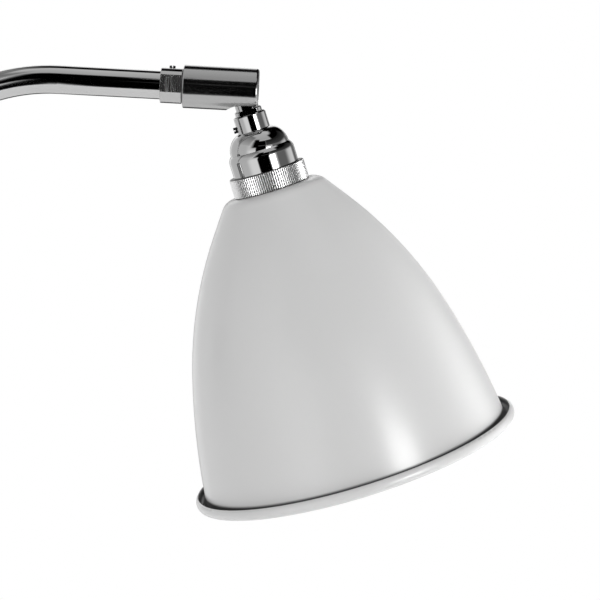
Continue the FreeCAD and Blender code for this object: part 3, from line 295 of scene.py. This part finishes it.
def gloss_paint(name, base=0.62):
    """Stove enamel: even colour with a trace of haze, fine orange peel and a hard clear gloss, and painted shade
    in the curl of the rim: a dark line that stands in for the crease's shadow."""
    made, tree = finish_of(name)
    where = place(tree)
    haze = noise(tree, where, 22.0, detail=3.0)
    peel = noise(tree, where, 480.0, rough=0.45)
    # the rim's curl and the wall by it are painted down to grey 0.055: painted shade, not the enamel's own colour
    haze_and_rim_shade = tree.maths("MULTIPLY", tree.spread(haze, 0.975, 1.0), clear_of_rim_shade(tree))
    surfaced(tree, {
        "Base Color": tree.shades(haze_and_rim_shade, grey(0.055), grey(base)),
        "Roughness": tree.spread(haze, 0.30, 0.36, *SOFT_RANGE),
        "Normal": bumped(tree, peel, 0.10, depth=0.04 * MM),
        "Specular IOR Level": 0.5, "Coat Weight": 0.35, "Coat Roughness": 0.2,
    })
    return made


def moulded(name, dark, light, rough, scale=900.0, strength=0.3):
    """Moulded plastic or glazed ceramic: slight mottling and a fine skin."""
    made, tree = finish_of(name)
    where = place(tree)
    mottle = noise(tree, where, 140.0, detail=3.0)
    skin = noise(tree, where, scale, detail=3.0, rough=0.6)
    surfaced(tree, {
        "Base Color": tree.shades(mottle, dark, light),
        "Roughness": tree.spread(mottle, rough * 0.8, rough * 1.2, *SOFT_RANGE),
        "Normal": bumped(tree, skin, strength, depth=0.05 * MM, edge=0.3 * MM),
    })
    return made


def pearl_glass(name):
    """Bulb glass frosted on the inside: milky, a little uneven, with a clear outer skin."""
    made, tree = finish_of(name)
    where = place(tree)
    frost = noise(tree, where, 620.0, detail=4.0, rough=0.7)
    cloud = noise(tree, where, 60.0)
    surfaced(tree, {
        "Base Color": tree.shades(cloud, (0.90, 0.90, 0.89), (0.96, 0.96, 0.95)),
        "Roughness": tree.spread(frost, 0.45, 0.62, *SOFT_RANGE),
        "Normal": bumped(tree, frost, 0.12, depth=0.03 * MM),
        "Transmission Weight": 0.35, "IOR": 1.5, "Coat Weight": 0.6, "Coat Roughness": 0.05,
    })
    return made


def drawn_aluminium(name, along):
    """Bulb cap metal with faint rings from drawing."""
    made, tree = finish_of(name)
    rings = noise(tree, place(tree, along, across=0.03), 1500.0, detail=3.0, rough=0.6)
    surfaced(tree, {
        "Base Color": tree.shades(rings, grey(0.62), grey(0.76)), "Metallic": 1.0,
        "Roughness": tree.spread(rings, 0.26, 0.42, *CRISP_RANGE),
        "Normal": bumped(tree, rings, 0.25, depth=0.04 * MM, edge=0.2 * MM),
    })
    return made


FINISHES = {
    "polished_chrome": polished_chrome("polished_chrome"),
    "knurled_chrome": knurled_chrome("knurled_chrome"),
    "zinc_plated_steel": plated_metal("zinc_plated_steel", grey(0.40), grey(0.58)),
    "blackened_steel": plated_metal("blackened_steel", grey(0.015), grey(0.04), rough=0.24, scale=500.0),
    "plated_brass": plated_metal(
        "plated_brass", (0.46, 0.44, 0.39), (0.62, 0.60, 0.54), rough=0.28, scale=700.0),
    "white_polyamide": moulded("white_polyamide", (0.70, 0.70, 0.68), (0.78, 0.78, 0.76), rough=0.5),
    "glazed_ceramic": moulded(
        "glazed_ceramic", (0.76, 0.76, 0.74), (0.84, 0.84, 0.82), rough=0.18, scale=260.0, strength=0.15),
    "bulb_cap_aluminium": drawn_aluminium("bulb_cap_aluminium", SHADE_AXIS),
    "black_insulator": moulded(
        "black_insulator", grey(0.02), grey(0.045), rough=0.16, scale=300.0, strength=0.2),
    "pearl_glass": pearl_glass("pearl_glass"),
    "white_gloss_paint": gloss_paint("white_gloss_paint"),
}
housing_chrome = brushed_chrome("housing_chrome", ROLL["axis"])
OWN_FINISHES = {
    "knuckle_housing": housing_chrome,
    "pivot_pins": housing_chrome,
    "wall_barrel": brushed_chrome("barrel_chrome", SWING["axis"]),
    "head_hex_collar": flatted_chrome("head_collar_chrome", "head_hex_collar", ROLL),
    "lower_hex_collar": flatted_chrome("lower_collar_chrome", "lower_hex_collar", SWING),
}
for entry in frame["record"]["subparts"]:
    mesh = nodes[entry["node"]].data
    mesh.materials.clear()
    mesh.materials.append(OWN_FINISHES.get(entry["node"]) or FINISHES[entry["material_slot"]])


# Studio: directions are an azimuth from the camera's side towards +X, and an elevation, in degrees

STUDIO_CENTRE = (0.235, 0.0, 0.11)
CARD_COLUMNS, CARD_ROWS = 48, 96
BLACK = (0.0, 0.0)  # a card's level at its low and its high edge
HARD = 0.01  # width of a card's edge that isn't soft


def studio_point(azimuth, elevation, reach):
    """A point seen from the studio's centre in a direction."""
    a, e = math.radians(azimuth), math.radians(elevation)
    way = (math.sin(a) * math.cos(e), -math.cos(a) * math.cos(e), math.sin(e))
    return tuple(c + reach * w for c, w in zip(STUDIO_CENTRE, way))


def put(name, data):
    """A new object in the scene."""
    thing = bpy.data.objects.new(name, data)
    bpy.context.scene.collection.objects.link(thing)
    return thing


def between(ends, share):
    """The value at a share of the way from one end to the other."""
    return ends[0] + (ends[1] - ends[0]) * share


def ramp(value, start, stop):
    """A smooth rise from 0 to 1."""
    t = min(max((value - start) / (stop - start), 0.0), 1.0)
    return t * t * (3 - 2 * t)


def window(value, ends, soft):
    """1 between two ends and 0 beyond them, with a soft width inside each end."""
    return ramp(value, ends[0], ends[0] + soft[0]) * (1 - ramp(value, ends[1] - soft[1], ends[1]))


def card(name, azimuths, elevations, level, soft, reach=1.1, line=None):
    """A card that only reflections see, with soft see-through edges. level is its brightness at its low
    and its high edge, soft holds the widths of its left, right, low and high edge, line is a thin paler
    stripe: its elevation, half width and level."""
    points, faces, covers, levels = [], [], [], []
    for j in range(CARD_ROWS + 1):
        elevation = between(elevations, j / CARD_ROWS)
        inner = between(level, j / CARD_ROWS)
        if line:
            inner = max(inner, line[2] * (1 - ramp(abs(elevation - line[0]), 0.0, line[1])))
        for i in range(CARD_COLUMNS + 1):
            azimuth = between(azimuths, i / CARD_COLUMNS)
            points.append(studio_point(azimuth, elevation, reach))
            covers.append(window(azimuth, azimuths, soft[:2]) * window(elevation, elevations, soft[2:]))
            levels.append(inner)
            if i < CARD_COLUMNS and j < CARD_ROWS:
                first = j * (CARD_COLUMNS + 1) + i
                faces.append((first, first + 1, first + CARD_COLUMNS + 2, first + CARD_COLUMNS + 1))
    mesh = bpy.data.meshes.new(name)
    mesh.from_pydata(points, [], faces)
    mesh.attributes.new("cover", "FLOAT", "POINT").data.foreach_set("value", covers)
    mesh.attributes.new("level", "FLOAT", "POINT").data.foreach_set("value", levels)
    made, tree = finish_of(name + "_glow")
    glow = tree.glow(tree.add("Attribute", attribute_name="level").outputs["Fac"])
    share = tree.add("Attribute", attribute_name="cover").outputs["Fac"]
    clear = tree.add("BsdfTransparent").outputs[0]
    tree.add("OutputMaterial", {"Surface": tree.mixed(share, clear, glow)})
    mesh.materials.append(made)
    thing = put(name, mesh)
    for seen_by in ("camera", "diffuse", "transmission", "volume_scatter", "shadow"):
        setattr(thing, "visible_" + seen_by, False)


# Black and grey cards stand where the photograph's chrome mirrors dark, and bright ones where it mirrors a
# soft box. A nearer card covers a farther one.
card("front_card", (-17, 26), (-56, 50), BLACK, soft=(4, 3, 26, 8), reach=1.0, line=(19, 2.6, 0.13))
card("front_left_card", (-42, -3), (5, 58), BLACK, soft=(18, 6, 8, 8), reach=0.9)
card("key_card", (26, 48), (-24, 10.5), (13.0, 13.0), soft=(4, 6, 10, 4), reach=1.02)
card("rim_card", (84, 134), (-36, 24), (1.25, 1.25), soft=(24, 12, 14, 18), reach=1.02)
card("right_card", (50, 162), (-24, 24), (0.27, 0.20), soft=(4, 12, 8, 10))
card("left_card", (-150, -40), (-40, 26), (0.86, 0.80), soft=(10, 20, 10, 8))
card("left_front_card", (-56, -8), (-44, 4), (1.3, 1.3), soft=(22, 3, 10, 12), reach=1.05)
card("right_roof_card", (22, 150), (13, 50), (0.10, 0.0), soft=(4, 12, 8, 6), reach=1.15)
card("far_roof_card", (50, 156), (42, 76), BLACK, soft=(14, 12, 4, 10), reach=1.17)
card("upper_left_card", (-160, -34), (18, 70), (0.78, 0.22), soft=(20, 16, 8, 8), reach=1.15)
card("back_right_card", (118, 177), (4, 70), BLACK, soft=(12, 8, 16, 6), reach=1.2)
card("back_card", (150, 236), (30, 74), BLACK, soft=(10, 20, 16, 6), reach=1.25)
card("low_back_card", (158, 202), (-50, 6), (0.12, 0.0), soft=(8, 8, 14, 2), reach=0.8)
card("behind_card", (166, 212), (-24, 36), (1.35, 1.35), soft=(10, 14, 8, 10), reach=1.28)
card("high_card", (-90, 90), (47, 89.5), (0.64, 0.84), soft=(HARD, HARD, 6, HARD), reach=1.3)
card("high_back_card", (90, 270), (49, 89.5), (1.0, 0.84), soft=(HARD, HARD, 2, HARD), reach=1.3)


def lamp(name, azimuth, elevation, reach, size, watts):
    """A soft box that faces the studio's centre. Reflections show the cards instead."""
    light = bpy.data.lights.new(name, "AREA")
    light.shape = "RECTANGLE"
    light.size, light.size_y = size
    light.energy = watts
    thing = put(name, light)
    spot = studio_point(azimuth, elevation, reach)
    thing.location = spot
    aim = Vector(STUDIO_CENTRE) - Vector(spot)
    thing.rotation_euler = aim.to_track_quat("-Z", "Y").to_euler()
    thing.visible_glossy = False


lamp("key_box", 36, 3, reach=1.0, size=(0.22, 0.36), watts=2.2)
lamp("rim_box", 108, -4, reach=1.2, size=(0.50, 0.9), watts=9.8)
lamp("fill_box", -20, -6, reach=1.3, size=(0.80, 0.80), watts=2.2)
lamp("left_box", -120, -12, reach=1.2, size=(0.60, 0.80), watts=2.0)


# Surroundings: a white world and a pale floor that runs out into it

SKY_AT_LEVEL, SKY_OVERHEAD = 0.82, 0.52  # light on the object from level and below, and from overhead
FLOOR_HEIGHT = -0.5
FLOOR_HALF = 4.0
FLOOR_FADE = (0.7, 1.15)  # the distance from its middle over which the floor turns into plain white
FLOOR_LIFT = 0.34  # what the paper adds to its own light so that the camera sees it as white


def white_to_camera(tree):
    """1 for camera, glossy and transmitted rays, else 0."""
    path = tree.add("LightPath").outputs
    seen = tree.maths("ADD", path["Is Camera Ray"], path["Is Glossy Ray"])
    return tree.maths("ADD", seen, path["Is Transmission Ray"], clamp=True)


def studio_world():
    """White behind the object, and an even softer light on it."""
    world = bpy.data.worlds.new("studio")
    bpy.context.scene.world = world
    tree = Tree(world)
    way = tree.add("SeparateXYZ", {"Vector": tree.add("TexCoord").outputs["Generated"]})
    soft = tree.spread(way.outputs["Z"], SKY_AT_LEVEL, SKY_OVERHEAD)
    level = tree.add("Mix", {0: white_to_camera(tree), 2: soft, 3: 1.0}).outputs[0]
    back = tree.add("Background", {"Color": WHITE, "Strength": level})
    tree.add("OutputWorld", {"Surface": back.outputs[0]})


def studio_floor():
    """Pale floor that keeps the object's shadow, runs out into the white and is clear from below."""
    floor_middle = (STUDIO_CENTRE[0], 0.0, FLOOR_HEIGHT)
    corners = [(-1, -1), (1, -1), (1, 1), (-1, 1)]
    points = [(floor_middle[0] + x * FLOOR_HALF, y * FLOOR_HALF, FLOOR_HEIGHT) for x, y in corners]
    mesh = bpy.data.meshes.new("floor")
    mesh.from_pydata(points, [], [(0, 1, 2, 3)])
    made, tree = finish_of("floor_paper")
    sheet = tree.add("NewGeometry").outputs
    away = tree.vectors("DISTANCE", sheet["Position"], floor_middle).outputs["Value"]
    seen = white_to_camera(tree)
    grain = tree.shades(noise(tree, sheet["Position"], 30.0), grey(0.885), grey(0.90))
    paper = tree.add("BsdfDiffuse", {"Color": grain}).outputs[0]
    lift = tree.glow(tree.maths("MULTIPLY", seen, FLOOR_LIFT))
    near = tree.add("AddShader", {0: paper, 1: lift}).outputs[0]
    far = tree.maths("MULTIPLY", tree.spread(away, 0.0, 1.0, *FLOOR_FADE), seen)
    ground = tree.mixed(far, near, tree.glow(1.0))
    under = tree.add("BsdfTransparent").outputs[0]
    tree.add("OutputMaterial", {"Surface": tree.mixed(sheet["Backfacing"], ground, under)})
    mesh.materials.append(made)
    put("floor", mesh)


# Camera

CAMERA_PLACE = (0.26083, -0.9961, 0.1760)
CAMERA_DIP = 8.5  # degrees below level
FOCAL_LENGTH = 126.0  # millimetres, for a sensor 36 mm wide


def photo_camera():
    """The photograph's view: slightly from above and square to the wall lamp's mirror plane."""
    lens = bpy.data.cameras.new("photo")
    lens.lens = FOCAL_LENGTH
    lens.sensor_width = 36.0
    lens.clip_start, lens.clip_end = 0.01, 50.0
    thing = put("photo", lens)
    thing.location = CAMERA_PLACE
    thing.rotation_euler = (math.radians(90 - CAMERA_DIP), 0.0, 0.0)
    bpy.context.scene.camera = thing


studio_world()
studio_floor()
photo_camera()
bpy.context.scene.view_settings.view_transform = "Standard"
